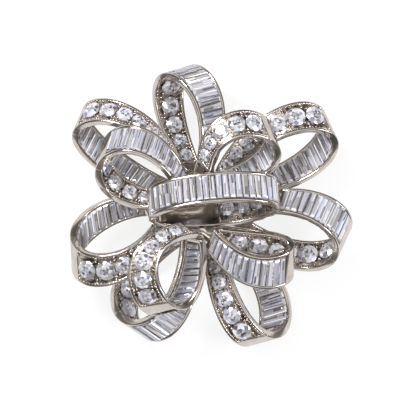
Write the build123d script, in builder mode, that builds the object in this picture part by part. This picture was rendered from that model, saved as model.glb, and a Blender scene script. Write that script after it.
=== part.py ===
from build123d import *
import os
from dataclasses import dataclass
from math import cos, pi, radians, sin

# A stone-set ribbon-bow brooch, lying on its back.
# Millimetres and degrees. +Z is the front that shows when it is worn, +Y is up on the wearer.
# The origin is below the middle of the brooch, on the surface that it lies on.

# ---------------------------------------------------------------- driving dimensions

BAND = 1.3                # thickness of a ribbon band
RAIL = 0.6                # width of the polished rails along both edges of a band
CHANNEL = 1.0             # depth of the channel that holds the baguettes
TRACE = 0.08              # depth that is left of the channel where the band is plain
CHANNEL_OVERRUN = 0.03    # share of a loop by which the channel runs past the tip
CHANNEL_RAMP = 0.04       # share of a loop over which its floor rises
BAND_STATIONS = 26        # cross-sections that shape one loop

BAGUETTE_PITCH = 1.2
BAGUETTE_GAP = 0.12
BAGUETTE_CROWN = 0.3      # height above the rails
BAGUETTE_FOOT = 0.16      # height of its foot above the channel's floor
BAGUETTE_GIRDLE = 0.02    # height of its widest place above the rails
BAGUETTE_PLAY = 0.2       # room between the two rails beyond its length
FOOT_WIDTH = 0.35         # shares of a baguette's widest place
TABLE_WIDTH = 0.6
END_STEP = 0.86
ROUND_RATIO = 0.60        # diameter of a round stone over the width of its band
ROUND_LARGEST = 3.6
ROUND_GAP = 0.15
KNOT_ROUND = 2.6
KNOT_ROUNDS_FROM = 0.765  # share of the knot's ring where its round stones start
TIP_GAP = 0.045           # share of a loop between its tip and its first stone
ROOT_GAP = 0.03           # share of a loop between its last stone and the band's end
KNOT_END_GAP = 0.045      # share of the knot's ring left plain at each side
GIRDLE_RISE = 0.3         # height of a stone's widest place above the band
PAVILION = 0.43           # heights of a round stone over its diameter
CROWN = 0.16
GIRDLE_LOW = -0.01
GIRDLE_HIGH = 0.02
TABLE = 0.56              # its table's radius over its own
SEAT_RATIO = 0.8          # diameter of the open seat over that of its stone
SEAT_CLEARANCE = 0.06     # how far a pavilion stands clear of its seat

PIN_Y = 0.8               # the needle's line across the back
PIN_Z = 2.3
NEEDLE_RADIUS = 0.45
SHANK_RADIUS = 0.5        # the stouter end of the needle beside its eye
SHANK_END = 11.5
STEM_START = 10.5
HINGE_X = 15.0
CATCH_X = -15.0
RUNNING = 0.05            # radial clearance of the needle's eye and of the catch barrel

POINT_START = -12.8       # where the needle starts to taper
POINT_END = -17.6
POINT_RADIUS = 0.08

RIVET_RADIUS = 0.45
RIVET_HEAD_RADIUS = 0.85
RIVET_HEAD = 0.4
RIVET_EDGE = 0.2
EYE_RADIUS = 1.3
EYE = 1.0                 # thickness of the needle's eye
EAR_INNER = 0.6           # from the needle's line to the inside of an ear
EAR = 0.7
FOOT = 0.6

CASE_RADIUS = 2.2
CASE_LENGTH = 2.4
BARREL_RADIUS = 1.5
LOCK_BORE = 0.65
MOUTH = 1.3               # width of the slots that let the needle out
COLLAR = 0.35
COLLAR_GAP = 0.05
COLLAR_RADIUS = 1.85
THUMB_REACH = 3.6
THUMB_WIDTH = 1.0
THUMB_ANGLE = -30         # from +Y towards +Z

PLATE_Z = 4.5             # rear face of the back plate
PLATE_THICKNESS = 0.9
PLATE_RADIUS = 5.0
BAR_START = -16.2
BAR_END = 17.4
BAR_WIDTH = 3.0
HUB_X = -1.5
HUB_Y = -0.3
HUB_RADIUS = 4.4
HUB_TOP = 8.7
HUB_EDGE = 0.8            # rounding of its upper edge
STAY_FOOT = (-11.4, 1.4)  # where the wire under the upper left loop leaves the plate's bar
UPPER_POST_TOP = 18.6     # the upper post also carries the knot's front band
LOWER_POST_TOP = 14.6
POST_RADIUS = 0.8
STRUT_RADIUS = 0.5

os.makedirs("parts", exist_ok=True)


# ---------------------------------------------------------------- ribbons

@dataclass
class Loop:
    """A ribbon folded into a petal: out along one leg, round the tip and back."""
    root: tuple           # where the two legs would meet
    aim: float            # heading, counter-clockwise from +X
    lift: float           # climb towards +Z
    roll: float           # tilt of the loop about its heading; the leg it raises is the near one
    face: float           # tilt of the ribbon's width about the heading
    length: float
    breadth: float
    waist: float          # moves the widest place from the root towards the tip
    bend: float           # sideways drift of the tip
    root_width: float
    tip_width: float
    twist: float          # change of the tilt from leg to leg
    lean: float           # tilt of the tip's width towards the root
    skew: float           # extra width of one leg over the other
    trims: tuple          # share of the loop left out at the start and at the end
    near: str             # stones on the near leg: baguettes or rounds
    near_tip: float = TIP_GAP

    def spot(self, t):
        """Middle of the band, direction across it and its width, at the share t of the loop."""
        aim, lift, roll = radians(self.aim), radians(self.lift), radians(self.roll)
        out = Vector(cos(aim) * cos(lift), sin(aim) * cos(lift), sin(lift))
        side = Vector(-sin(aim), cos(aim), 0)
        up = out.cross(side)
        across = side * cos(roll) + up * sin(roll)
        reach = (1 - cos(2 * pi * t)) / 2
        bulge = 0.65 * self.breadth * sin(2 * pi * t) * sin(pi * t) ** self.waist
        middle = Vector(*self.root) + out * (self.length * reach)
        middle = middle + across * bulge + side * (self.bend * reach ** 2)
        face = radians(self.face + self.twist * (2 * t - 1))
        lean = radians(self.lean) * sin(pi * t)
        width_way = (up * cos(face) - side * sin(face)) * cos(lean) - out * sin(lean)
        grow = (self.tip_width - self.root_width) * sin(pi * t) ** 1.2
        width = (self.root_width + grow) * (1 + self.skew * (1 - 2 * t))
        return middle, width_way.normalized(), width

    def near_leg(self):
        return "start" if self.roll > 0 else "end"


@dataclass
class Ring:
    """The flattened ring of ribbon that ties the bow."""
    middle: tuple
    half_width: float     # half the ring's own span from side to side
    half_depth: float
    tilt: float           # lean of the front band's face towards +Y
    turn: float           # rise of its right side
    width: float
    near: str = "baguettes"

    def spot(self, t):
        tilt, turn = radians(self.tilt), radians(self.turn)
        side = Vector(cos(turn), sin(turn), 0)
        up = Vector(-sin(turn) * cos(tilt), cos(turn) * cos(tilt), -sin(tilt))
        front = side.cross(up)
        middle = Vector(*self.middle) + side * (self.half_width * cos(2 * pi * t))
        middle = middle + front * (self.half_depth * sin(2 * pi * t))
        return middle, up, self.width

    def near_leg(self):
        return "start"


def station(ribbon, t):
    """Middle, direction along, direction across, outward normal and width at t."""
    step = 0.001
    middle, across, width = ribbon.spot(t)
    travel = ribbon.spot(t + step)[0] - ribbon.spot(t - step)[0]
    outward = across.cross(travel).normalized()
    return middle, outward.cross(across), across, outward, width


def leg_range(ribbon, leg, tip_gap, root_gap):
    """Shares of the loop between which a leg carries stones, from its tip to its root."""
    if leg == "start":
        return 0.5 - tip_gap, root_gap
    return 0.5 + tip_gap, 1 - root_gap


def face_spot(ribbon, t, side):
    """Middle of the band's face, a little above it, where the stones' girdles are."""
    middle, along, across, outward, width = station(ribbon, t)
    return middle + outward * (side * (BAND / 2 + GIRDLE_RISE))


def walk(ribbon, start, stop, side, size, gap):
    """Places stones one after another along the band's face: a list of (t, size)."""
    step = 0.001 if stop > start else -0.001
    placed = []
    t, travelled, last_size = start, 0.0, None
    last_spot = face_spot(ribbon, t, side)
    while (stop - t) * step > 0:
        t += step
        spot = face_spot(ribbon, t, side)
        travelled += (spot - last_spot).length
        last_spot = spot
        here = size(ribbon.spot(t)[2])
        wait = here / 2 if last_size is None else (here + last_size) / 2 + gap
        if travelled >= wait:
            placed.append((t, here))
            travelled, last_size = 0.0, here
    return placed


def channel_depth(ribbon, t, leg):
    """Full depth along the leg with baguettes, a trace elsewhere."""
    inside = CHANNEL_OVERRUN + ((0.5 - t) if leg == "start" else (t - 0.5))
    share = min(max(inside / CHANNEL_RAMP, 0.0), 1.0)
    return TRACE + (CHANNEL - TRACE) * share


def band_part(ribbon, first, last, stations, baguette_leg, side):
    """A band with a channel on one face: side 1 is the outer face, -1 the inner one."""
    with BuildPart() as band:
        for i in range(stations):
            t = first + (last - first) * i / (stations - 1)
            middle, along, across, outward, width = station(ribbon, t)
            half, thick = width / 2, BAND / 2 * side
            floor = thick - channel_depth(ribbon, t, baguette_leg) * side
            wall = half - RAIL
            with BuildSketch(Plane(middle, x_dir=across, z_dir=-along)):
                with BuildLine():
                    Polyline(
                        (-half, -thick), (half, -thick), (half, thick), (wall, thick),
                        (wall, floor), (-wall, floor), (-wall, thick), (-half, thick),
                        close=True)
                make_face()
        loft()
    return band.part


def round_size(width):
    """Diameter of the round stone that suits a band's width."""
    return min(ROUND_RATIO * width, ROUND_LARGEST)


def round_places(ribbon, leg, side, tip_gap, root_gap):
    start, stop = leg_range(ribbon, leg, tip_gap, root_gap)
    return walk(ribbon, start, stop, side, round_size, ROUND_GAP)


def hollow(ribbon, t, side, reach):
    """How far a hollow face rises within the given reach of t; 0 on a bulging face."""
    step = 0.005
    before, after = station(ribbon, t - step), station(ribbon, t + step)
    turned = (after[3] - before[3]).dot(before[1]) / (after[0] - before[0]).length
    return max(0.0, -turned * side * reach ** 2 / 2)


def stone_plane(ribbon, t, side):
    """Plane on the band's face: x along the band, z out of the face."""
    middle, along, across, outward, width = station(ribbon, t)
    return Plane(middle + outward * (side * BAND / 2), x_dir=along, z_dir=outward * side)


def seats(band, ribbon, places, side):
    """Opens a seat through the band behind each round stone."""
    with BuildPart() as pierced:
        add(band)
        for t, diameter in places:
            with BuildSketch(stone_plane(ribbon, t, side)):
                Circle(SEAT_RATIO * diameter / 2)
            extrude(amount=2 * BAND, both=True, mode=Mode.SUBTRACT)
    return pierced.part


def round_stones(ribbon, places, side):
    """Brilliants: pavilion in the seat, girdle just above the band's face."""
    with BuildPart() as stones:
        for t, diameter in places:
            face = stone_plane(ribbon, t, side)
            radius = diameter / 2
            pavilion = PAVILION * diameter
            girdle = (1 - SEAT_RATIO) * pavilion + SEAT_CLEARANCE + hollow(ribbon, t, side, radius)
            middle = face.origin + face.z_dir * girdle
            with BuildSketch(Plane(middle, x_dir=face.x_dir, z_dir=face.y_dir * -1)):
                with BuildLine():
                    Polyline(
                        (0, -pavilion), (radius, GIRDLE_LOW * diameter),
                        (radius, GIRDLE_HIGH * diameter), (TABLE * radius, CROWN * diameter),
                        (0, CROWN * diameter), close=True)
                make_face()
            revolve(axis=Axis(middle, face.z_dir))
    return stones.part


def baguette_stones(ribbon, leg, side, tip_gap, root_gap):
    """Step-cut bars side by side across the channel."""
    start, stop = leg_range(ribbon, leg, tip_gap, root_gap)
    bar = BAGUETTE_PITCH - BAGUETTE_GAP
    places = walk(ribbon, start, stop, side, lambda width: bar, BAGUETTE_GAP)
    with BuildPart() as stones:
        for t, bar in places:
            middle, along, across, outward, width = station(ribbon, t)
            travel = (ribbon.spot(t + 0.001)[0] - ribbon.spot(t - 0.001)[0]).normalized()
            slant = abs(travel.dot(across)) * BAGUETTE_PITCH
            long = width - 2 * RAIL - slant - BAGUETTE_PLAY
            face = stone_plane(ribbon, t, side)
            with BuildSketch(face.offset(BAGUETTE_FOOT - CHANNEL)):
                Rectangle(bar * FOOT_WIDTH, long * END_STEP)
            with BuildSketch(face.offset(BAGUETTE_GIRDLE)):
                Rectangle(bar, long)
            with BuildSketch(face.offset(BAGUETTE_CROWN)):
                Rectangle(bar * TABLE_WIDTH, long * END_STEP)
            loft(ruled=True)
    return stones.part


def write(part, name):
    part.label = name
    export_step(part, f"parts/{name}.step")


# ---------------------------------------------------------------- the bow's loops

petals = {
    "top": Loop(
        (-2.3, 5.2, 8.7), 93, 1, -40, -64, 19.0, 8.8, 0.65, 2.2, 2.6, 6.4, 3, 12, 0,
        (0.07, 0.07), "baguettes", 0.015),
    "upper_right_inner": Loop(
        (-0.3, 5.0, 16.3), 48, 4, 34, 64, 13.2, 9.3, 0.35, -2.0, 3.2, 5.6, -4, 24, 0,
        (0.07, 0.10), "rounds"),
    "upper_right": Loop(
        (1.2, 3.3, 8.8), 31, 0, 32, 65, 22.6, 9.4, 0.55, -0.6, 2.6, 6.4, -8, 6, 0,
        (0.08, 0.10), "rounds"),
    "right": Loop(
        (4.2, -1.8, 9.2), -11, 1, 40, 67, 19.8, 10.6, 0.45, -0.4, 2.8, 6.5, 5, 13, 0,
        (0.18, 0.08), "baguettes"),
    "lower_right_inner": Loop(
        (-1.8, -3.8, 14.2), -40, 0, -30, -52, 16.3, 7.2, 1.75, 5.0, 2.6, 6.9, -22, 32, 0,
        (0.15, 0.13), "baguettes"),
    "lower_right": Loop(
        (0.5, -5.6, 7.6), -57, -8, -40, -66, 20.5, 10.0, 0.7, -1.6, 3.2, 6.3, 0, -13, 0,
        (0.06, 0.07), "rounds", 0.115),
    "lower_left": Loop(
        (-4.0, -5.0, 6.7), 238, -3.8, 40, 66, 19.5, 11.8, 0.7, 0.6, 3.4, 6.1, -4, 4, 0,
        (0.06, 0.06), "baguettes"),
    "lower_left_inner": Loop(
        (-3.0, -4.5, 16.0), 231, 5, -40, -57, 14.6, 11.8, 0.7, 2.8, 4.0, 5.6, -26, 46, 0,
        (0.07, 0.07), "rounds", 0.025),
    "left": Loop(
        (-9.0, -1.2, 9.6), 211, 1, 40, 66, 17.4, 10.2, 0.2, -0.5, 2.8, 6.5, -3, 26, 0,
        (0.07, 0.09), "rounds"),
    "upper_left_inner": Loop(
        (-4.9, 1.4, 12.8), 148, 5, -40, -60, 16.5, 11.1, 0.55, 0.1, 2.6, 5.8, -6, 12, 0,
        (0.16, 0.07), "baguettes"),
    "upper_left": Loop(
        (-6.0, 2.7, 9.8), 131, -2, -40, -57, 21.1, 9.8, 0.4, 4.0, 2.8, 5.8, 22, 24, 0.2,
        (0.11, 0.09), "rounds", 0.02),
}
knot = Ring((0.4, 1.05, 15.1), 11.2, 5.0, 25, 5, 5.9)

for name, petal in petals.items():
    near = petal.near_leg()
    far = "end" if near == "start" else "start"
    trim = {"start": petal.trims[0], "end": petal.trims[1]}
    if petal.near == "baguettes":
        bar_leg, bar_side, round_leg, round_side = near, 1, far, -1
    else:
        bar_leg, bar_side, round_leg, round_side = far, -1, near, 1
    tip = {near: petal.near_tip, far: TIP_GAP}
    places = round_places(petal, round_leg, round_side, tip[round_leg], trim[round_leg] + ROOT_GAP)
    band = band_part(
        petal, petal.trims[0], 1 - petal.trims[1], BAND_STATIONS, bar_leg, bar_side)
    band = seats(band, petal, places, round_side)
    write(band, f"{name}_band")
    write(round_stones(petal, places, round_side), f"{name}_rounds")
    bars = baguette_stones(petal, bar_leg, bar_side, tip[bar_leg], trim[bar_leg] + ROOT_GAP)
    write(bars, f"{name}_baguettes")

# ---------------------------------------------------------------- the knot


write(band_part(knot, 0, 0.5, BAND_STATIONS, "start", 1), "knot_front_band")
write(baguette_stones(knot, "start", 1, KNOT_END_GAP, KNOT_END_GAP), "knot_baguettes")
places = walk(knot, KNOT_ROUNDS_FROM, 1 - KNOT_END_GAP, -1, lambda width: KNOT_ROUND, ROUND_GAP)
rear_band = band_part(knot, 0.5, 1, BAND_STATIONS, "none", -1)
write(seats(rear_band, knot, places, -1), "knot_rear_band")
write(round_stones(knot, places, -1), "knot_rounds")

# ---------------------------------------------------------------- back plate and hub

def strut(start, end, radius):
    """A straight round wire."""
    way = Vector(*end) - Vector(*start)
    with BuildPart() as wire:
        with BuildSketch(Plane(start, z_dir=way)):
            Circle(radius)
        extrude(amount=way.length)
    return wire.part


def leg_end(name, leg):
    """Just inside the end of a petal's leg."""
    petal = petals[name]
    share = petal.trims[0] + 0.01 if leg == "start" else 1 - petal.trims[1] - 0.01
    return tuple(petal.spot(share)[0])


plate_top = PLATE_Z + PLATE_THICKNESS
bar_stay = strut((*STAY_FOOT, plate_top - 0.1), leg_end("upper_left", "start"), STRUT_RADIUS)
with BuildPart() as back_plate:
    with BuildSketch(Plane.XY.offset(PLATE_Z)):
        with Locations(((BAR_START + BAR_END) / 2, PIN_Y)):
            SlotOverall(BAR_END - BAR_START, BAR_WIDTH)
        with Locations((HUB_X, HUB_Y)):
            Circle(PLATE_RADIUS)
    extrude(amount=PLATE_THICKNESS)
    add(bar_stay)
write(back_plate.part, "back_plate")


upper_post = (-0.4, 4.3)
lower_post = (-1.6, -4.8)
strut_feet = [
    ((*upper_post, 8.3), "top", "start"),
    ((*upper_post, 9.3), "top", "end"),
    ((*upper_post, 16.0), "upper_right_inner", "start"),
    ((*upper_post, 13.8), "upper_right_inner", "end"),
    ((*upper_post, 9.8), "upper_right", "start"),
    ((HUB_X + 3.0, HUB_Y + 1.0, 7.3), "upper_right", "end"),
    ((HUB_X + 3.0, HUB_Y - 2.0, 7.0), "right", "end"),
    ((*lower_post, 13.8), "lower_right_inner", "start"),
    ((*lower_post, 14.2), "lower_right_inner", "end"),
    ((*lower_post, 7.0), "lower_right", "start"),
    ((*lower_post, 8.0), "lower_right", "end"),
    ((*lower_post, 7.2), "lower_left", "start"),
    ((*lower_post, 6.4), "lower_left", "end"),
    ((*lower_post, 14.0), "lower_left_inner", "start"),
    ((*lower_post, 14.2), "lower_left_inner", "end"),
    ((HUB_X - 3.0, HUB_Y - 1.0, 7.6), "left", "start"),
    ((HUB_X - 3.0, HUB_Y, 6.6), "left", "end"),
    ((*upper_post, 13.2), "upper_left_inner", "end"),
    ((*upper_post, 11.0), "upper_left", "end"),
]
wires = [strut(foot, leg_end(name, leg), STRUT_RADIUS) for foot, name, leg in strut_feet]
wires.append(strut((*upper_post, plate_top), (*upper_post, UPPER_POST_TOP), POST_RADIUS))
wires.append(strut((*lower_post, plate_top), (*lower_post, LOWER_POST_TOP), POST_RADIUS))

with BuildPart() as hub:
    with BuildSketch(Plane.XY.offset(plate_top)):
        with Locations((HUB_X, HUB_Y)):
            Circle(HUB_RADIUS)
    extrude(amount=HUB_TOP - plate_top)
    fillet(hub.edges().group_by(Axis.Z)[-1], HUB_EDGE)
    add(wires)
write(hub.part, "centre_hub")

# ---------------------------------------------------------------- hinge of the needle

def across_pin(way, distance):
    """Plane square to the hinge's axis, at a distance to one side of the needle's line."""
    origin = (HINGE_X, PIN_Y + way * distance, PIN_Z)
    return Plane(origin, x_dir=(way, 0, 0), z_dir=(0, -way, 0))


with BuildPart() as hinge_bracket:
    for way in (-1, 1):
        with BuildSketch(across_pin(way, EAR_INNER)):
            Circle(PIN_Z)
            with Locations((0, (PLATE_Z - PIN_Z) / 2)):
                Rectangle(2 * PIN_Z, PLATE_Z - PIN_Z)
            with Locations((0, PLATE_Z)):
                Rectangle(2 * PIN_Z, 2 * PIN_Z, mode=Mode.SUBTRACT)
            Circle(RIVET_RADIUS, mode=Mode.SUBTRACT)
        extrude(amount=-EAR)
    with BuildSketch(Plane.XY.offset(PLATE_Z - FOOT)):
        with Locations((HINGE_X, PIN_Y)):
            Rectangle(2 * PIN_Z, 2 * EAR_INNER)
    extrude(amount=FOOT)
write(hinge_bracket.part, "hinge_bracket")

with BuildPart() as rivet:
    with BuildSketch(Plane.XZ.offset(-PIN_Y)):
        with Locations((HINGE_X, PIN_Z)):
            Circle(RIVET_RADIUS)
    extrude(amount=EAR_INNER + EAR, both=True)
    for way in (-1, 1):
        with BuildSketch(across_pin(way, EAR_INNER + EAR)):
            Circle(RIVET_HEAD_RADIUS)
        extrude(amount=-RIVET_HEAD)
    fillet(rivet.edges().group_by(Axis.Y)[0] + rivet.edges().group_by(Axis.Y)[-1], RIVET_EDGE)
write(rivet.part, "hinge_rivet")

with BuildPart() as needle:
    with BuildSketch(Plane.XZ.offset(-PIN_Y)):
        with Locations((HINGE_X, PIN_Z)):
            Circle(EYE_RADIUS)
            Circle(RIVET_RADIUS + RUNNING, mode=Mode.SUBTRACT)
    extrude(amount=EYE / 2, both=True)
    shank_start = HINGE_X - (EYE_RADIUS + RIVET_RADIUS) / 2 - 0.1
    with BuildSketch(Plane((0, PIN_Y, PIN_Z), x_dir=(1, 0, 0), z_dir=(0, -1, 0))):
        with BuildLine():
            Polyline(
                (shank_start, 0), (shank_start, SHANK_RADIUS), (SHANK_END, SHANK_RADIUS),
                (STEM_START, NEEDLE_RADIUS), (POINT_START, NEEDLE_RADIUS),
                (POINT_END, POINT_RADIUS), (POINT_END, 0), close=True)
        make_face()
    revolve(axis=Axis((0, PIN_Y, PIN_Z), (1, 0, 0)))
write(needle.part, "pin_needle")

# ---------------------------------------------------------------- turning catch

def catch_plane(x):
    """Plane square to the needle at x: y up the brooch, towards the front."""
    return Plane((x, PIN_Y, PIN_Z), x_dir=(0, 1, 0), z_dir=(1, 0, 0))


case_bore = BARREL_RADIUS + RUNNING
with BuildPart() as catch_case:
    with BuildSketch(catch_plane(CATCH_X - CASE_LENGTH / 2)):
        Circle(CASE_RADIUS)
        with Locations((0, (PLATE_Z - PIN_Z + case_bore) / 2)):
            Rectangle(2 * CASE_RADIUS - 1, PLATE_Z - PIN_Z - case_bore)
        Circle(case_bore, mode=Mode.SUBTRACT)
        with Locations((0, -CASE_RADIUS)):
            Rectangle(MOUTH, 2 * CASE_RADIUS, mode=Mode.SUBTRACT)
    extrude(amount=CASE_LENGTH)
write(catch_case.part, "catch_case")

with BuildPart() as catch_lock:
    with BuildSketch(catch_plane(CATCH_X - CASE_LENGTH / 2 - COLLAR_GAP - COLLAR)):
        Circle(BARREL_RADIUS)
    extrude(amount=CASE_LENGTH + 2 * (COLLAR_GAP + COLLAR))
    for x in (CATCH_X - CASE_LENGTH / 2 - COLLAR_GAP - COLLAR, CATCH_X + CASE_LENGTH / 2 + COLLAR_GAP):
        with BuildSketch(catch_plane(x)):
            Circle(COLLAR_RADIUS)
        extrude(amount=COLLAR)
    with BuildSketch(catch_plane(CATCH_X - CASE_LENGTH / 2 - COLLAR_GAP - COLLAR)):
        with Locations(Vector(THUMB_REACH / 2, 0).rotate(Axis.Z, THUMB_ANGLE)):
            SlotOverall(THUMB_REACH, THUMB_WIDTH, rotation=THUMB_ANGLE)
    extrude(amount=COLLAR)
    with BuildSketch(catch_plane(CATCH_X)):
        Circle(LOCK_BORE)
        with Locations((0, -CASE_RADIUS)):
            Rectangle(MOUTH, 2 * CASE_RADIUS)
    extrude(amount=CASE_LENGTH, both=True, mode=Mode.SUBTRACT)
write(catch_lock.part, "catch_lock")
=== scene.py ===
"""Looks of the ribbon-bow brooch: folded ribbons, set stones, metal finishes, light and camera.

Design sizes are in millimetres and become metres where a mesh is made.
"""

import math
import random
from dataclasses import dataclass

import bpy
import numpy as np
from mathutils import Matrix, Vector

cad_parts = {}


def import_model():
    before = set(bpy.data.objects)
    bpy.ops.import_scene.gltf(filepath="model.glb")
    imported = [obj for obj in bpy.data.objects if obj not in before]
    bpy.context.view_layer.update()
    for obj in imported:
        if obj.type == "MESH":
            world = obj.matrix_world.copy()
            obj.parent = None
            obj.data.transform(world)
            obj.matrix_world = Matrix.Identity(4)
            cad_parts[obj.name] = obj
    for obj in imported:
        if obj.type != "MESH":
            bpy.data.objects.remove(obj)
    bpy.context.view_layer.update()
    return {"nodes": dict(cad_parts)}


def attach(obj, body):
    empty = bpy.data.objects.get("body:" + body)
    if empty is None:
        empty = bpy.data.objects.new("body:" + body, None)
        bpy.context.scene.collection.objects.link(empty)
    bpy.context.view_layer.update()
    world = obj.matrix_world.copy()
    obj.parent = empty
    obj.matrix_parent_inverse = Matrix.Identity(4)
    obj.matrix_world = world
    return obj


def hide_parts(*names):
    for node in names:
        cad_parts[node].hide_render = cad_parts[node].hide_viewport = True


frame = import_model()

MM = 0.001

# ---------------------------------------------------------------- design sizes, mm and degrees

BAND = 1.3                # thickness of a ribbon band
HALF_BAND = BAND / 2
LOOP_FULLNESS = 0.65      # share of a loop's breadth that each leg bows out, before its waist
TIP_GROWTH = 1.2          # power by which a band widens from its root to its tip
RAIL = 0.6                # width of the polished rails along both edges
RAIL_ROUNDING = 0.2
RAIL_INSET = RAIL * 0.7   # plates and crossbars end inside the rails, this far from the band's edge

STRIP_STEPS = 420         # fine steps along a ribbon, for its arc length
STRIP_NUDGE = 0.001       # share of the loop either way, to find the direction of travel
SWEEP_STEP = 0.28         # length of one ring of a swept bar
WALK_STEP = 0.02          # step along the band while stones are placed
NUDGE = 0.05              # small step that gives a direction on the band

BAGUETTE_PITCH = 1.2
BAGUETTE_GAP = 0.17
BAGUETTE_WIDTH = BAGUETTE_PITCH - BAGUETTE_GAP
BAGUETTE_RISE = 0.1       # height above the face where a bar has that width
BAGUETTE_SINK = 0.02      # depth below the face from which a bar's levels are measured
BAGUETTE_PLAY = 0.03      # between a bar's end and the rail

ROUND_RATIO = 0.60        # diameter of a round stone over the width of its band
ROUND_LARGEST = 3.6
ROUND_GAP = 0.15
ROUND_LIFT = 0.045        # height of a stone's middle above its plate, as a share of its diameter
GIRDLE_RISE = 0.3         # height above the face where the gaps between stones are measured

PLATE_TOP = HALF_BAND - 0.14      # heights of a plate's faces above the middle of the band
PLATE_BOTTOM = -HALF_BAND + 0.12
PLATE_MARGIN = 0.25       # plate beyond the first and last round stone
PLATE_OVERLAP = 0.03      # overlap of one cell of a plate with the next
SEAT_TOP = 0.93           # radii of a tapered seat over its stone's radius
SEAT_BOTTOM = 0.62

CLAW_BEAD = 0.26          # radius of the beads that hold a stone
CLAW_ANGLES = (52, 128)   # degrees round a stone, from the way the row runs
CLAW_REACH = 0.02         # from the stone's edge out to the bead's middle
CLAW_SINK = 0.1           # from the stone's middle down to the bead's middle
CORNER_BEAD = 0.27        # radius of the beads between two stones, next to the rails
CORNER_INSET = 0.16       # from the rail in to the bead's middle
INNER_BEAD = 0.26         # radius of a second bead, where the band is wide enough for one
INNER_INSET = 0.72
INNER_ROOM = 1.2          # least half width between the rails for a second bead
PLATE_BEAD_SINK = 0.16    # from the face down to the middle of a corner or inner bead
GRAIN = 0.19              # radius of the fine grains along the rails
GRAIN_PITCH = 0.55
GRAIN_INSET = 0.03        # how far a grain's middle lies in the rail
GRAIN_SINK = 0.12         # from the face down to the grain's middle

PLAIN_SHORTEST = 0.05     # gaps between rows under this length stay open
PLAIN_OVERLAP = 0.1       # length that a plain stretch runs under its neighbours

TIP_GAP = 0.045           # share of a loop between its tip and its first stone
ROOT_GAP = 0.03           # share of a loop between its last stone and the band's end
KNOT_END_GAP = 0.045      # share of the ring between a row's end and the ring's side
KNOT_ROUND = 2.6          # diameter of the round stones on the knot
KNOT_ROUNDS_FROM = 0.765  # share of the ring where the rear row starts


def unit(v):
    return v / np.linalg.norm(v, axis=-1, keepdims=True)


@dataclass
class Loop:
    """A ribbon folded into a petal: out along one leg, round the tip and back."""
    root: tuple                 # where both legs meet, before they are trimmed
    aim: float                  # direction of the petal in plan, degrees from +X
    lift: float                 # slope of the petal above the surface, degrees
    roll: float                 # tilt of the loop about its own length, degrees
    face: float                 # tilt of the ribbon's width from upright, degrees
    length: float
    breadth: float              # about the distance between the legs at their widest
    waist: float                # larger keeps the legs closer together near the root
    bend: float                 # sideways drift of the tip
    root_width: float
    tip_width: float
    twist: float                # added to the face at the end and taken off at the start, degrees
    lean: float                 # tilt of the width towards the root at the tip, degrees
    skew: float                 # share by which the start is wider and the end narrower
    trims: tuple                # shares cut off at the start and at the end
    near: str                   # kind of stones on the leg nearest the viewer
    near_tip: float = TIP_GAP   # share between the tip and the first of those stones

    def spots(self, t):
        """Middles, directions across and widths at the shares t of the loop."""
        aim, lift, roll = (math.radians(a) for a in (self.aim, self.lift, self.roll))
        flat = math.cos(lift)
        out = np.array([math.cos(aim) * flat, math.sin(aim) * flat, math.sin(lift)])
        side = np.array([-math.sin(aim), math.cos(aim), 0.0])
        up = np.cross(out, side)
        across = side * math.cos(roll) + up * math.sin(roll)
        t = t[:, None]
        arch = np.sin(math.pi * t)
        reach = (1 - np.cos(2 * math.pi * t)) / 2
        bulge = LOOP_FULLNESS * self.breadth * np.sin(2 * math.pi * t) * arch ** self.waist
        middle = np.array(self.root) + out * self.length * reach
        middle = middle + across * bulge + side * self.bend * reach ** 2
        face = np.radians(self.face + self.twist * (2 * t - 1))
        lean = np.radians(self.lean) * arch
        width_way = (up * np.cos(face) - side * np.sin(face)) * np.cos(lean) - out * np.sin(lean)
        grow = (self.tip_width - self.root_width) * arch ** TIP_GROWTH
        width = (self.root_width + grow) * (1 + self.skew * (1 - 2 * t))
        return middle, unit(width_way), width[:, 0]

    def round_size(self, width):
        return min(ROUND_RATIO * width, ROUND_LARGEST)


@dataclass
class Ring:
    """The flattened ring of ribbon that ties the bow."""
    middle: tuple
    half_width: float
    half_depth: float
    tilt: float                 # degrees that the ring's top edge leans back
    turn: float                 # degrees that the ring is turned in plan
    width: float                # width of the ribbon

    def spots(self, t):
        """Middles, directions across and widths at the shares t of the ring."""
        tilt, turn = math.radians(self.tilt), math.radians(self.turn)
        flat = math.cos(tilt)
        side = np.array([math.cos(turn), math.sin(turn), 0.0])
        up = np.array([-math.sin(turn) * flat, math.cos(turn) * flat, -math.sin(tilt)])
        front = np.cross(side, up)
        angle = 2 * math.pi * t[:, None]
        middle = np.array(self.middle) + side * self.half_width * np.cos(angle)
        middle = middle + front * self.half_depth * np.sin(angle)
        return middle, np.tile(up, (len(t), 1)), np.full(len(t), self.width)

    def round_size(self, width):
        return KNOT_ROUND


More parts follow.
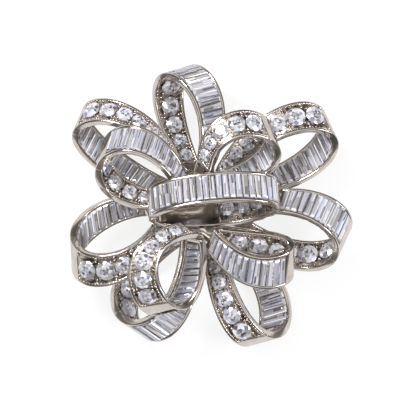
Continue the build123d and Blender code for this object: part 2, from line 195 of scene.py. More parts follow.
# Numbers are in the order of Loop's fields.
petals = {
    "top": Loop(
        (-2.3, 5.2, 8.7), 93, 1, -40, -64, 19.0, 8.8, 0.65, 2.2, 2.6, 6.4, 3, 12, 0,
        (0.07, 0.07), "baguettes", 0.015),
    "upper_right_inner": Loop(
        (-0.3, 5.0, 16.3), 48, 4, 34, 64, 13.2, 9.3, 0.35, -2.0, 3.2, 5.6, -4, 24, 0,
        (0.07, 0.10), "rounds"),
    "upper_right": Loop(
        (1.2, 3.3, 8.8), 31, 0, 32, 65, 22.6, 9.4, 0.55, -0.6, 2.6, 6.4, -8, 6, 0,
        (0.08, 0.10), "rounds"),
    "right": Loop(
        (4.2, -1.8, 9.2), -11, 1, 40, 67, 19.8, 10.6, 0.45, -0.4, 2.8, 6.5, 5, 13, 0,
        (0.18, 0.08), "baguettes"),
    "lower_right_inner": Loop(
        (-1.8, -3.8, 14.2), -40, 0, -30, -52, 16.3, 7.2, 1.75, 5.0, 2.6, 6.9, -22, 32, 0,
        (0.15, 0.13), "baguettes"),
    "lower_right": Loop(
        (0.5, -5.6, 7.6), -57, -8, -40, -66, 20.5, 10.0, 0.7, -1.6, 3.2, 6.3, 0, -13, 0,
        (0.06, 0.07), "rounds", 0.115),
    "lower_left": Loop(
        (-4.0, -5.0, 6.7), 238, -3.8, 40, 66, 19.5, 11.8, 0.7, 0.6, 3.4, 6.1, -4, 4, 0,
        (0.06, 0.06), "baguettes"),
    "lower_left_inner": Loop(
        (-3.0, -4.5, 16.0), 231, 5, -40, -57, 14.6, 11.8, 0.7, 2.8, 4.0, 5.6, -26, 46, 0,
        (0.07, 0.07), "rounds", 0.025),
    "left": Loop(
        (-9.0, -1.2, 9.6), 211, 1, 40, 66, 17.4, 10.2, 0.2, -0.5, 2.8, 6.5, -3, 26, 0,
        (0.07, 0.09), "rounds"),
    "upper_left_inner": Loop(
        (-4.9, 1.4, 12.8), 148, 5, -40, -60, 16.5, 11.1, 0.55, 0.1, 2.6, 5.8, -6, 12, 0,
        (0.16, 0.07), "baguettes"),
    "upper_left": Loop(
        (-6.0, 2.7, 9.8), 131, -2, -40, -57, 21.1, 9.8, 0.4, 4.0, 2.8, 5.8, 22, 24, 0.2,
        (0.11, 0.09), "rounds", 0.02),
}
knot = Ring((0.4, 1.05, 15.1), 11.2, 5.0, 25, 5, 5.9)


class Strip:
    """A ribbon measured along its middle, so that flat (s, v, h) points can be laid on it."""

    def __init__(self, ribbon, first, last):
        self.t = np.linspace(first, last, STRIP_STEPS)
        self.middle, self.across, self.width = ribbon.spots(self.t)
        travel = ribbon.spots(self.t + STRIP_NUDGE)[0] - ribbon.spots(self.t - STRIP_NUDGE)[0]
        self.outward = unit(np.cross(self.across, travel))
        steps = np.linalg.norm(np.diff(self.middle, axis=0), axis=1)
        self.s = np.concatenate([[0.0], np.cumsum(steps)])
        turned = np.gradient(self.outward, self.s, axis=0)
        way = np.gradient(self.middle, self.s, axis=0)
        self.curve = (turned * way).sum(axis=1)

    def at(self, table, s):
        """Row of a table of vectors at the length s."""
        return np.stack([np.interp(s, self.s, table[:, i]) for i in range(3)], axis=-1)

    def half(self, s):
        """Half of the band's width."""
        return np.interp(s, self.s, self.width) / 2

    def bulge(self, s):
        """Curvature of the outer face; negative where it is hollow."""
        return float(np.interp(s, self.s, self.curve))

    def s_of(self, t):
        """Length along the strip at the share t of the ribbon."""
        return float(np.interp(t, self.t, self.s))

    def put(self, points):
        """Space points for rows of (along, across, height above the middle of the band)."""
        points = np.asarray(points, float)
        s = np.clip(points[:, 0], 0, self.s[-1])
        middle = self.at(self.middle, s)
        across = unit(self.at(self.across, s))
        outward = unit(self.at(self.outward, s))
        return middle + across * points[:, 1:2] + outward * points[:, 2:3]


FLAT_TONE = 0.5           # brightness of a face that isn't a facet


class Shell:
    """Collects points and faces for one piece."""

    def __init__(self):
        self.points, self.faces, self.finish, self.smooth, self.tone = [], [], [], [], []
        self.count = 0

    def add(self, points, faces, finish=0, smooth=False, tones=None):
        for i, face in enumerate(faces):
            self.faces.append([self.count + k for k in face])
            self.finish.append(finish)
            self.smooth.append(smooth)
            self.tone.append(FLAT_TONE if tones is None else tones[i])
        self.points.append(np.asarray(points, float))
        self.count += len(points)

    def build(self, name, materials, body, nodes, slot):
        """Makes the piece, in place of the CAD nodes named."""
        mesh = bpy.data.meshes.new(name)
        points = np.concatenate(self.points) * MM
        mesh.from_pydata(points.tolist(), [], self.faces)
        for material in materials:
            mesh.materials.append(material)
        mesh.polygons.foreach_set("material_index", self.finish)
        mesh.polygons.foreach_set("use_smooth", self.smooth)
        # Per-face tone; on stones the material turns it into painted reflections.
        tone = mesh.attributes.new("tone", "FLOAT", "FACE")
        tone.data.foreach_set("value", self.tone)
        mesh.validate()
        mesh.update()
        piece = bpy.data.objects.new(name, mesh)
        bpy.context.scene.collection.objects.link(piece)
        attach(piece, body)
        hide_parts(*nodes)


# ---------------------------------------------------------------- metalwork

BRIGHT, SETTING = 0, 1    # places in METAL, below; SETTING is the darker finish that carries painted shade


def tube_faces(rings, around):
    """Faces of a closed tube of equal rings, with flat ends."""
    faces = []
    for i in range(rings - 1):
        for k in range(around):
            n = (k + 1) % around
            low, high = i * around, (i + 1) * around
            faces.append((low + k, low + n, high + n, high + k))
    faces.append(tuple(reversed(range(around))))
    faces.append(tuple((rings - 1) * around + k for k in range(around)))
    return faces


def rounded_outline(half_v, half_h, radius, segments=3):
    """Outline of a rounded rectangle in (across, height)."""
    outline = []
    for corner, (sv, sh) in enumerate(((1, 1), (-1, 1), (-1, -1), (1, -1))):
        for i in range(segments + 1):
            angle = math.pi / 2 * (corner + i / segments)
            outline.append((
                sv * (half_v - radius) + radius * math.cos(angle),
                sh * (half_h - radius) + radius * math.sin(angle)))
    return outline


def sweep(shell, strip, start, stop, centre, half_v, half_h, radius, finish=BRIGHT):
    """A rounded bar along the strip; centre, half_v and half_h are functions of s."""
    rings = max(3, int(abs(stop - start) / SWEEP_STEP) + 1)
    points, around = [], 0
    for s in np.linspace(start, stop, rings):
        outline = rounded_outline(half_v(s), half_h(s), radius)
        around = len(outline)
        points += [(s, centre(s) + v, h) for v, h in outline]
    shell.add(strip.put(points), tube_faces(rings, around), finish, smooth=True)


def rails(shell, strip, start, stop):
    """The two polished edges of a band."""
    for way in (-1, 1):
        sweep(
            shell, strip, start, stop, lambda s: way * (strip.half(s) - RAIL / 2),
            lambda s: RAIL / 2, lambda s: HALF_BAND, RAIL_ROUNDING)


def plain(shell, strip, start, stop):
    """A solid polished stretch of band that runs out into the rails, or to the band's end."""
    proud, sunk, blend, touch = 0.012, 0.06, 0.5, 0.01
    at_start, at_stop = start <= touch, stop >= strip.s[-1] - touch

    def swell(s):
        """How far the stretch stands proud of the rails, or is sunk in them near its ends."""
        inside = min(blend if at_start else s - start, blend if at_stop else stop - s)
        share = min(1.0, inside / blend)
        return proud * share - sunk * (1 - share) if share < 1 else proud

    sweep(
        shell, strip, start, stop, lambda s: 0.0,
        lambda s: strip.half(s) + swell(s), lambda s: HALF_BAND + swell(s), RAIL_ROUNDING)


def crossbar(shell, strip, s, side):
    """A small bar between the rails that two baguettes rest on."""
    half_s, low, high, top_share = 0.2, -HALF_BAND + 0.05, -HALF_BAND + 0.55, 0.6
    wall = float(strip.half(s)) - RAIL_INSET
    half_top = half_s * top_share
    corners = [(-half_s, low), (half_s, low), (half_top, high), (-half_top, high)]
    points = [(s + a, v, h * side) for v in (-wall, wall) for a, h in corners]
    faces = [(0, 1, 2, 3), (7, 6, 5, 4), (0, 4, 5, 1), (1, 5, 6, 2), (2, 6, 7, 3), (3, 7, 4, 0)]
    # The crossbar takes the darker finish, painted shade in the seams between baguettes.
    shell.add(strip.put(points), faces, SETTING)


def seat_plate(shell, strip, start, stop, centre, top_radius, bottom_radius, side):
    """One cell of a bead-set plate: a rectangle of band with a tapered hole for a stone."""
    quarter = 8
    start, stop = start - PLATE_OVERLAP, stop + PLATE_OVERLAP
    top, bottom = PLATE_TOP * side, PLATE_BOTTOM * side
    corners = [(stop, 1), (start, 1), (start, -1), (stop, -1)]
    outer, inner = [], []
    for (s_a, way_a), (s_b, way_b) in zip(corners, corners[1:] + corners[:1]):
        for k in range(quarter):
            s = s_a + (s_b - s_a) * k / quarter
            wall = float(strip.half(s)) - RAIL_INSET
            v = wall * (way_a + (way_b - way_a) * k / quarter)
            outer.append((s, v))
            inner.append(unit(np.array([s - centre, v])))
    around = len(outer)
    squeeze = 1 / (1 + strip.bulge(centre) * side * HALF_BAND)
    points = [(s, v, top) for s, v in outer]
    points += [(centre + c * top_radius * squeeze, r * top_radius, top) for c, r in inner]
    points += [(centre + c * bottom_radius, r * bottom_radius, bottom) for c, r in inner]
    points += [(s, v, bottom) for s, v in outer]
    faces = []
    for ring in range(4):
        low, high = ring * around, ((ring + 1) % 4) * around
        for k in range(around):
            n = (k + 1) % around
            faces.append((low + k, low + n, high + n, high + k))
    # The plate takes the darker finish, painted shade in the recesses between round stones.
    shell.add(strip.put(points), faces, SETTING)


def bead(shell, strip, s, v, h, radius, side):
    """A small raised bead of metal, a little over half a ball, that holds a stone's edge."""
    around, levels, wrap = 8, 4, 1.25
    base = strip.put([(s, v, h * side)])[0]
    ahead = unit(strip.put([(s + NUDGE, v, h * side)])[0] - base)
    up = unit(strip.put([(s, v, (h + NUDGE) * side)])[0] - base)
    across = np.cross(up, ahead)
    points, faces = [base + up * radius], []
    for i in range(1, levels + 1):
        angle = math.pi / 2 * i / levels * wrap
        for k in range(around):
            turn = 2 * math.pi * k / around
            spread = radius * math.sin(angle)
            points.append(
                base + up * radius * math.cos(angle)
                + (ahead * math.cos(turn) + across * math.sin(turn)) * spread)
    for k in range(around):
        n = (k + 1) % around
        faces.append((0, 1 + k, 1 + n))
        for i in range(levels - 1):
            low, high = 1 + i * around, 1 + (i + 1) * around
            faces.append((low + k, high + k, high + n, low + n))
    faces.append(tuple(reversed([1 + (levels - 1) * around + k for k in range(around)])))
    shell.add(points, faces, BRIGHT, smooth=True)


# ---------------------------------------------------------------- stones

# Brightness ranges of the painted reflections on stone facets: dark, pale and near white.
DARK_TONES = (0.02, 0.30)
PALE_TONES = (0.42, 0.80)
WHITE_TONES = (0.86, 1.0)


def painted_facet_reflection(rng, dark=0.16, light=0.30):
    """Painted reflection of one facet: mostly pale, a share of dark ones and a share of near white
    ones.
    """
    pick = rng.random()
    if pick < dark:
        return rng.uniform(*DARK_TONES)
    if pick > 1 - light:
        return rng.uniform(*WHITE_TONES)
    return rng.uniform(*PALE_TONES)


# A round stone's reaches are shares of its radius, and its heights and depth of its diameter.
TABLE_REACH, TABLE_HEIGHT = 0.56, 0.165
CROWN_REACH, CROWN_HEIGHT = 0.80, 0.098
GIRDLE_HEIGHT = 0.018
PAVILION_REACH, PAVILION_HEIGHT = 0.26, -0.325
CULET_DEPTH = 0.43
STAR_REACH = 0.34         # the painted reflection pattern that shows under the table
STAR_DRIFT = 0.03         # how far that pattern may sit off centre


def brilliant(shell, middle, along, up, diameter, rng):
    """A round brilliant: faceted crown, girdle and pavilion, the table showing painted reflections of
    the facets below.
    """
    side = np.cross(up, along)
    radius = diameter / 2
    turn = rng.uniform(0, math.pi / 4)
    shift = np.array([rng.uniform(-STAR_DRIFT, STAR_DRIFT), rng.uniform(-STAR_DRIFT, STAR_DRIFT)])

    def ring(count, offset, share, height, drift=0.0):
        """Points round the axis; drift moves them with the pattern under the table."""
        out = []
        for k in range(count):
            angle = turn + 2 * math.pi * (k + offset) / count
            a = math.cos(angle) * share + drift * shift[0]
            b = math.sin(angle) * share + drift * shift[1]
            out.append(middle + (along * a + side * b) * radius + up * diameter * height)
        return out

    points = ring(8, 0, TABLE_REACH, TABLE_HEIGHT) + ring(8, 0.5, CROWN_REACH, CROWN_HEIGHT)
    points += ring(16, 0, 1.0, GIRDLE_HEIGHT) + ring(16, 0, 1.0, -GIRDLE_HEIGHT)
    points += ring(8, 0.5, PAVILION_REACH, PAVILION_HEIGHT) + [middle - up * diameter * CULET_DEPTH]
    points += ring(8, 0.5, STAR_REACH, TABLE_HEIGHT, 1.0) + ring(1, 0, 0.0, TABLE_HEIGHT, 2.0)
    # First point of each ring, in the order in which they were added.
    table, mid, girdle, lower, deep, culet, inner, heart = 0, 8, 16, 32, 48, 56, 57, 65
    drop = lower - girdle
    faces, tones = [], []

    def facet(face, tone):
        faces.append(face)
        tones.append(tone)

    # Each facet gets a painted reflection tone; the star and heart on the table paint the pavilion's
    # reflections.
    for k in range(8):
        n = (k + 1) % 8
        before = (k - 1) % 8
        g, half, g_next = girdle + 2 * k, girdle + 2 * k + 1, girdle + (2 * k + 2) % 16
        arrow = painted_facet_reflection(rng, dark=0.25, light=0.3)
        facet((table + k, inner + k, table + n), painted_facet_reflection(rng, dark=0.2, light=0.4))
        facet((table + k, inner + before, inner + k), painted_facet_reflection(rng, dark=0.3, light=0.3))
        facet((heart, inner + k, inner + before), arrow)
        facet((table + k, table + n, mid + k), painted_facet_reflection(rng, dark=0.08, light=0.5))
        facet((table + k, mid + k, g, mid + before), painted_facet_reflection(rng, dark=0.15, light=0.35))
        facet((mid + k, half, g), painted_facet_reflection(rng, dark=0.25, light=0.25))
        facet((mid + k, g_next, half), painted_facet_reflection(rng, dark=0.25, light=0.25))
        facet((deep + k, g + drop, half + drop), painted_facet_reflection(rng, dark=0.3, light=0.1))
        facet((deep + k, half + drop, g_next + drop), painted_facet_reflection(rng, dark=0.3, light=0.1))
        facet((culet, deep + before, g + drop, deep + k), painted_facet_reflection(rng, dark=0.3, light=0.1))
        for a, b in ((g, half), (half, g_next)):
            facet((a, b, b + drop, a + drop), FLAT_TONE)
    shell.add(points, faces, tones=tones)


# Height, share of the width and share of the length, from the keel to the table.
BAGUETTE_LEVELS = (
    (-0.78, 0.10, 0.70), (-0.45, 0.62, 0.88), (-0.03, 1.0, 1.0),
    (0.04, 1.0, 1.0), (0.18, 0.80, 0.93), (0.30, 0.54, 0.82))
BAGUETTE_CORNERS = ((-1, -1), (1, -1), (1, 1), (-1, 1))
CROWN_STARTS = 3          # level from which the steps belong to the crown
# Baguette tones are painted light: a painted highlight on the steps of one long side, painted shade on
# the other, painted reflections elsewhere.
SIDE_TONES = (0.1, 0.5)   # painted reflection tones below the crown
KEEL_TONE = 0.4
LIT_STEP_TONES = (0.72, 0.96)
SHADED_STEP_TONES = (0.22, 0.66)
LIT_SHARE = 0.7           # share of the bars whose painted highlight step is on the same side
LIFT_PLAY = 0.04          # how much a bar's height varies
ROLL_PLAY = 0.05          # how much higher one long side of a bar may be than its middle
STREAKS = 3               # painted bright and dark reflection stripes along a bar's table
STREAK_REACH = 0.7        # limit of the streaks' seams across the table, which reaches to 1
WAIST_REACH = 0.5         # limit of the place along the table where the streaks bend
TAPERS = (0.05, 0.16)     # share by which a bar is wider at one end


def streak_cuts(rng):
    """Places across a bar's table, from -1 to 1, where one streak meets the next."""
    return [-1.0] + sorted(rng.uniform(-STREAK_REACH, STREAK_REACH) for _ in range(STREAKS - 1)) + [1.0]


def baguette(shell, strip, s, side, taper, rng):
    """A step-cut bar across the channel, its ends following the rails and its table painted with
    streaks of reflection.
    """
    bar = BAGUETTE_WIDTH / (1 + strip.bulge(s) * side * (HALF_BAND + BAGUETTE_RISE))
    lift = rng.uniform(-LIFT_PLAY, LIFT_PLAY)
    roll = rng.uniform(-ROLL_PLAY, ROLL_PLAY)

    def spot(a, b, wide, long, height):
        """A point of the bar, with a across it and b along it from -1 to 1."""
        along = s + a * bar / 2 * wide * (1 + taper * b)
        reach = (float(strip.half(along)) - RAIL - BAGUETTE_PLAY) * long
        return along, b * reach, (HALF_BAND - BAGUETTE_SINK + height + lift + a * roll) * side

    points = []
    for height, wide, long in BAGUETTE_LEVELS:
        for a, b in BAGUETTE_CORNERS:
            points.append(spot(a, b, wide, long, height))
    faces, tones = [], []
    # Side of the bar that gets the painted highlight; the opposite steps get painted shade.
    lit = 1 if rng.random() < LIT_SHARE else 3
    for level in range(len(BAGUETTE_LEVELS) - 1):
        for k in range(4):
            n = (k + 1) % 4
            low, high = level * 4, level * 4 + 4
            faces.append((low + k, low + n, high + n, high + k))
            if level < CROWN_STARTS:
                tones.append(rng.uniform(*SIDE_TONES))
            elif k in (1, 3):
                tones.append(rng.uniform(*(LIT_STEP_TONES if k == lit else SHADED_STEP_TONES)))
            else:
                tones.append(painted_facet_reflection(rng))
    faces.append((3, 2, 1, 0))
    tones.append(KEEL_TONE)
    height, wide, long = BAGUETTE_LEVELS[-1]
    first = len(points)
    low_cuts = streak_cuts(rng)
    high_cuts = streak_cuts(rng)
    waist = rng.uniform(-WAIST_REACH, WAIST_REACH)
    for a_low, a_high in zip(low_cuts, high_cuts):
        points.append(spot(a_low, -1, wide, long, height))
        points.append(spot((a_low + a_high) / 2, waist, wide, long, height))
        points.append(spot(a_high, 1, wide, long, height))
    for i in range(STREAKS):
        for part in range(2):
            a, b = first + 3 * i + part, first + 3 * i + 3 + part
            faces.append((a, b, b + 1, a + 1))
            tones.append(painted_facet_reflection(rng, dark=0.14, light=0.28))
    if side < 0:
        faces = [tuple(reversed(face)) for face in faces]
    shell.add(strip.put(points), faces, tones=tones)


def walk(strip, start, stop, side, size, gap):
    """Places stones one after another along the band's face: a list of (s, size).

    The size of a stone is a function of the band's width where it sits.
    """
    placed = []
    step = WALK_STEP if stop > start else -WALK_STEP
    s, travelled, last_size = start, 0.0, None
    while (stop - s) * step > 0:
        s += step
        travelled += abs(step) * (1 + strip.bulge(s) * side * (HALF_BAND + GIRDLE_RISE))
        here = size(2 * float(strip.half(s)))
        wait = here / 2 if last_size is None else (here + last_size) / 2 + gap
        if travelled >= wait:
            placed.append((s, here))
            travelled, last_size = 0.0, here
    return placed


def set_rounds(metal, stones, strip, places, side, rng):
    """Bead-set row: pierced plate, stones, the beads that hold them and grains along the rails."""
    edges = []
    for (a, size_a), (b, size_b) in zip(places, places[1:]):
        edges.append(a + (b - a) * size_a / (size_a + size_b))
    first, last = places[0], places[-1]
    way = 1 if last[0] > first[0] else -1
    opening = first[0] - way * (first[1] / 2 + PLATE_MARGIN)
    closing = last[0] + way * (last[1] / 2 + PLATE_MARGIN)
    bounds = [opening] + edges + [closing]
    for i, (s, diameter) in enumerate(places):
        low, high = sorted((bounds[i], bounds[i + 1]))
        radius = diameter / 2
        seat_plate(metal, strip, low, high, s, radius * SEAT_TOP, radius * SEAT_BOTTOM, side)
        sag = max(0.0, -strip.bulge(s) * side) * radius ** 2 / 2
        height = PLATE_TOP + ROUND_LIFT * diameter + sag
        middle = strip.put([(s, 0, height * side)])[0]
        ahead = unit(strip.put([(s + NUDGE, 0, 0)])[0] - strip.put([(s - NUDGE, 0, 0)])[0])
        up = unit(strip.put([(s, 0, 1)])[0] - strip.put([(s, 0, 0)])[0]) * side
        brilliant(stones, middle, ahead, up, diameter, rng)
        squeeze = 1 / (1 + strip.bulge(s) * side * HALF_BAND)
        for way_v in (1, -1):
            for degrees in CLAW_ANGLES:
                angle = math.radians(degrees)
                bead_s = s + math.cos(angle) * (radius + CLAW_REACH) * squeeze
                bead_v = way_v * math.sin(angle) * (radius + CLAW_REACH)
                bead(metal, strip, bead_s, bead_v, height - CLAW_SINK, CLAW_BEAD, side)
    bead_height = HALF_BAND - PLATE_BEAD_SINK
    for s in bounds:
        wall = float(strip.half(s)) - RAIL
        for way_v in (-1, 1):
            bead(metal, strip, s, way_v * (wall - CORNER_INSET), bead_height, CORNER_BEAD, side)
            if wall > INNER_ROOM:
                bead(metal, strip, s, way_v * (wall - INNER_INSET), bead_height, INNER_BEAD, side)
    low, high = min(bounds[0], bounds[-1]), max(bounds[0], bounds[-1])
    grains = int((high - low) / GRAIN_PITCH)
    for i in range(grains + 1):
        s = low + (high - low) * i / grains
        wall = float(strip.half(s)) - RAIL
        for way_v in (-1, 1):
            bead(metal, strip, s, way_v * (wall + GRAIN_INSET), HALF_BAND - GRAIN_SINK, GRAIN, side)
    return low, high


def set_baguettes(metal, stones, strip, places, side, rng):
    """Channel-set row: bars side by side, with crossbars under their seams."""
    for i, (s, _) in enumerate(places):
        taper = rng.uniform(*TAPERS) * (1 if i % 2 else -1)
        baguette(stones, strip, s, side, taper, rng)
    for (a, _), (b, _) in zip(places, places[1:]):
        crossbar(metal, strip, (a + b) / 2, side)
    half = BAGUETTE_PITCH / 2
    ends = sorted((places[0][0], places[-1][0]))
    return ends[0] - half, ends[1] + half


def ribbon_pieces(name, ribbon, first, last, rows, nodes, rng):
    """Builds one band with its rows of stones, each given as (kind, start, stop, side).

    start and stop are shares of the ribbon, and side is 1 for its outer face and -1 for its inner.
    """
    strip = Strip(ribbon, first, last)
    metal, bars, rounds = Shell(), Shell(), Shell()
    rails(metal, strip, 0.0, strip.s[-1])
    taken = []
    for kind, start, stop, side in rows:
        start, stop = strip.s_of(start), strip.s_of(stop)
        if kind == "baguettes":
            places = walk(strip, start, stop, side, lambda width: BAGUETTE_WIDTH, BAGUETTE_GAP)
            taken.append(set_baguettes(metal, bars, strip, places, side, rng))
        else:
            places = walk(strip, start, stop, side, ribbon.round_size, ROUND_GAP)
            taken.append(set_rounds(metal, rounds, strip, places, side, rng))
    taken.sort()
    edge = 0.0
    for low, high in taken:
        if low - edge > PLAIN_SHORTEST:
            plain(metal, strip, max(0.0, edge - PLAIN_OVERLAP), low + PLAIN_OVERLAP)
        edge = high
    if strip.s[-1] - edge > PLAIN_SHORTEST:
        plain(metal, strip, max(0.0, edge - PLAIN_OVERLAP), strip.s[-1])
    metal.build(f"{name}_metal", METAL, "brooch", nodes["metal"], "band_metal")
    if bars.count:
        bars.build(f"{name}_baguette_row", STONE, "brooch", nodes["baguettes"], "baguette_stone")
    if rounds.count:
        rounds.build(f"{name}_round_row", STONE, "brooch", nodes["rounds"], "round_stone")


# ---------------------------------------------------------------- materials

SCRATCH_SCALE = 1800.0
SCRATCH_DEPTH = 0.00004   # metres


def new_material(name):
    material = bpy.data.materials.new(name)
    material.use_nodes = True
    nodes = material.node_tree.nodes
    return material, nodes, material.node_tree.links, nodes["Principled BSDF"]


def noise(nodes, scale, detail=3.0, roughness=0.5):
    node = nodes.new("ShaderNodeTexNoise")
    node.inputs["Scale"].default_value = scale
    node.inputs["Detail"].default_value = detail
    node.inputs["Roughness"].default_value = roughness
    return node


def ramp(nodes, stops):
    """Colour ramp with stops given as (place, colour)."""
    node = nodes.new("ShaderNodeValToRGB")
    elements = node.color_ramp.elements
    elements.remove(elements[-1])
    elements[0].position = stops[0][0]
    elements[0].color = (*stops[0][1], 1)
    for place, colour in stops[1:]:
        elements.new(place).color = (*colour, 1)
    return node


def metal_material(name, light, dark, rough_low, rough_high, bump, grain=420.0, spread=0.2):
    """Plated white metal: the colour varies in patches of that grain, under fine scratches."""
    material, nodes, links, shader = new_material(name)
    where = nodes.new("ShaderNodeTexCoord")
    patches = noise(nodes, grain, 4.0, 0.6)
    links.new(where.outputs["Object"], patches.inputs["Vector"])
    colours = ramp(nodes, ((0.5 - spread, dark), (0.5 + spread, light)))
    links.new(patches.outputs["Fac"], colours.inputs["Fac"])
    links.new(colours.outputs["Color"], shader.inputs["Base Color"])
    fine = noise(nodes, SCRATCH_SCALE, 2.0, 0.5)
    links.new(where.outputs["Object"], fine.inputs["Vector"])
    polish = nodes.new("ShaderNodeMapRange")
    polish.inputs["To Min"].default_value = rough_low
    polish.inputs["To Max"].default_value = rough_high
    links.new(fine.outputs["Fac"], polish.inputs["Value"])
    links.new(polish.outputs["Result"], shader.inputs["Roughness"])
    bumps = nodes.new("ShaderNodeBump")
    bumps.inputs["Strength"].default_value = bump
    bumps.inputs["Distance"].default_value = SCRATCH_DEPTH
    links.new(fine.outputs["Fac"], bumps.inputs["Height"])
    links.new(bumps.outputs["Normal"], shader.inputs["Normal"])
    shader.inputs["Metallic"].default_value = 1.0
    return material


def stone_material(name):
    """Cut stone: the white, lavender, grey and slate of each facet are painted reflections, picked by
    its tone.
    """
    material, nodes, links, shader = new_material(name)
    tone = nodes.new("ShaderNodeAttribute")
    tone.attribute_name = "tone"
    # Painted reflection colours by tone; the narrow blue stop is painted sparkle.
    painted_reflection_colours = ramp(nodes, (
        (0.0, (0.06, 0.05, 0.05)), (0.21, (0.20, 0.18, 0.18)), (0.235, (0.17, 0.20, 0.42)),
        (0.26, (0.25, 0.23, 0.25)), (0.46, (0.40, 0.39, 0.37)), (0.62, (0.50, 0.48, 0.54)),
        (0.74, (0.58, 0.56, 0.64)), (0.80, (0.58, 0.64, 0.82)), (0.86, (0.72, 0.70, 0.77)),
        (1.0, (0.95, 0.94, 0.96))))
    links.new(tone.outputs["Fac"], painted_reflection_colours.inputs["Fac"])
    links.new(painted_reflection_colours.outputs["Color"], shader.inputs["Base Color"])
    shader.inputs["Roughness"].default_value = 0.04
    shader.inputs["IOR"].default_value = 2.15
    shader.inputs["Metallic"].default_value = 0.25
    return material


bright_metal = metal_material(
    "bright_metal", (0.64, 0.585, 0.545), (0.48, 0.43, 0.395), 0.08, 0.20, bump=0.2)
# Seats and crossbars: speckled dark and light, a random mottle that paints the shade in the recesses
# between stones.
painted_shade_setting_metal = metal_material(
    "painted_shade_setting_metal", (0.66, 0.58, 0.52), (0.09, 0.07, 0.062), 0.20, 0.42, bump=0.6,
    grain=1500.0, spread=0.1)
gallery_metal = metal_material(
    "gallery_metal", (0.66, 0.62, 0.56), (0.50, 0.46, 0.40), 0.25, 0.42, bump=0.5)
fitting_metal = metal_material(
    "fitting_metal", (0.78, 0.76, 0.72), (0.66, 0.63, 0.58), 0.14, 0.30, bump=0.3)
needle_steel = metal_material(
    "needle_steel", (0.80, 0.79, 0.77), (0.68, 0.67, 0.65), 0.12, 0.25, bump=0.2)
METAL = (bright_metal, painted_shade_setting_metal)
STONE = (stone_material("clear_stone"),)

# ---------------------------------------------------------------- the bow

SEED = 7

rng = random.Random(SEED)
for name, petal in petals.items():
    near = "start" if petal.roll > 0 else "end"
    far = "end" if near == "start" else "start"
    tip = {near: petal.near_tip, far: TIP_GAP}
    legs = {
        "start": (0.5 - tip["start"], petal.trims[0] + ROOT_GAP),
        "end": (0.5 + tip["end"], 1 - petal.trims[1] - ROOT_GAP)}
    other = "rounds" if petal.near == "baguettes" else "baguettes"
    rows = [(petal.near, *legs[near], 1), (other, *legs[far], -1)]
    nodes = {
        "metal": [f"{name}_band"], "baguettes": [f"{name}_baguettes"],
        "rounds": [f"{name}_rounds"]}
    ribbon_pieces(name, petal, petal.trims[0], 1 - petal.trims[1], rows, nodes, rng)

knot_rows = [
    ("baguettes", KNOT_END_GAP, 0.5 - KNOT_END_GAP, 1),
    ("rounds", KNOT_ROUNDS_FROM, 1 - KNOT_END_GAP, -1)]
knot_nodes = {
    "metal": ["knot_front_band", "knot_rear_band"], "baguettes": ["knot_baguettes"],
    "rounds": ["knot_rounds"]}
ribbon_pieces("knot", knot, 0.0, 1.0, knot_rows, knot_nodes, rng)

# The parts of the back keep their CAD shapes.
for node, material in (
        ("centre_hub", gallery_metal), ("back_plate", gallery_metal), ("hinge_bracket", fitting_metal),
        ("hinge_rivet", fitting_metal), ("catch_case", fitting_metal), ("catch_lock", fitting_metal),
        ("pin_needle", needle_steel)):
    frame["nodes"][node].data.materials[0] = material

# ---------------------------------------------------------------- floor, light and camera

FLOOR_REACH = 0.6         # metres, as are all sizes below
PETAL_HEIGHT = 0.010
CAMERA_DISTANCE = 1.5
FRAME_WIDTH = 0.0747      # width of the picture at the height of the petals
FRAME_MIDDLE = (-0.00057, -0.0004)


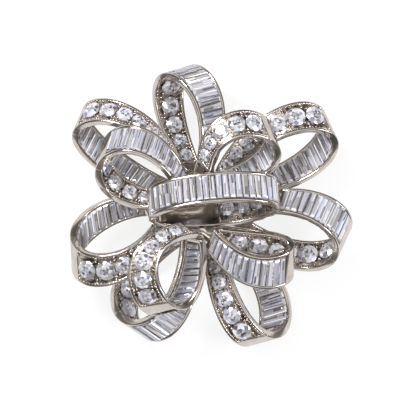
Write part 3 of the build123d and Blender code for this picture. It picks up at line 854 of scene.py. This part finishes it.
def floor():
    r = FLOOR_REACH
    mesh = bpy.data.meshes.new("floor")
    mesh.from_pydata([(-r, -r, 0), (r, -r, 0), (r, r, 0), (-r, r, 0)], [], [(0, 1, 2, 3)])
    piece = bpy.data.objects.new("floor", mesh)
    bpy.context.scene.collection.objects.link(piece)
    material, nodes, links, shader = new_material("pale_floor")
    shader.inputs["Base Color"].default_value = (0.2, 0.2, 0.2, 1)
    shader.inputs["Roughness"].default_value = 0.9
    shader.inputs["Specular IOR Level"].default_value = 0.1
    shader.inputs["Emission Color"].default_value = (1, 1, 1, 1)
    shader.inputs["Emission Strength"].default_value = 0.82
    mesh.materials.append(material)


def area_light(name, place, size, power):
    """A soft lamp that points at the petals."""
    data = bpy.data.lights.new(name, "AREA")
    data.shape = "RECTANGLE"
    data.size, data.size_y = size
    data.energy = power
    lamp = bpy.data.objects.new(name, data)
    bpy.context.scene.collection.objects.link(lamp)
    lamp.location = place
    aim = Vector((0, 0, PETAL_HEIGHT))
    lamp.rotation_euler = (aim - Vector(place)).to_track_quat("-Z", "Y").to_euler()


def world():
    """A soft studio sky, from the horizon and below it (0) to overhead (1)."""
    made = bpy.data.worlds.new("studio")
    bpy.context.scene.world = made
    made.use_nodes = True
    nodes, links = made.node_tree.nodes, made.node_tree.links
    where = nodes.new("ShaderNodeTexCoord")
    split = nodes.new("ShaderNodeSeparateXYZ")
    links.new(where.outputs["Generated"], split.inputs["Vector"])
    shades = ramp(nodes, (
        (0.0, (0.36, 0.35, 0.34)), (0.3, (0.11, 0.11, 0.11)), (0.6, (0.13, 0.13, 0.13)),
        (0.85, (1.08, 1.08, 1.08))))
    links.new(split.outputs["Z"], shades.inputs["Fac"])
    links.new(shades.outputs["Color"], nodes["Background"].inputs["Color"])
    nodes["Background"].inputs["Strength"].default_value = 1.0


def camera():
    """Square on from the front, and far enough away to show little perspective."""
    data = bpy.data.cameras.new("camera")
    piece = bpy.data.objects.new("camera", data)
    bpy.context.scene.collection.objects.link(piece)
    data.sensor_width = 36.0
    data.lens = data.sensor_width * CAMERA_DISTANCE / FRAME_WIDTH
    data.clip_start = 0.01
    piece.location = (*FRAME_MIDDLE, PETAL_HEIGHT + CAMERA_DISTANCE)
    bpy.context.scene.camera = piece


floor()
world()
area_light("key", place=(-0.25, 0.30, 0.45), size=(0.22, 0.14), power=2.7)
area_light("fill", place=(0.40, -0.10, 0.35), size=(0.14, 0.22), power=1.3)
camera()
bpy.context.scene.view_settings.view_transform = "Standard"
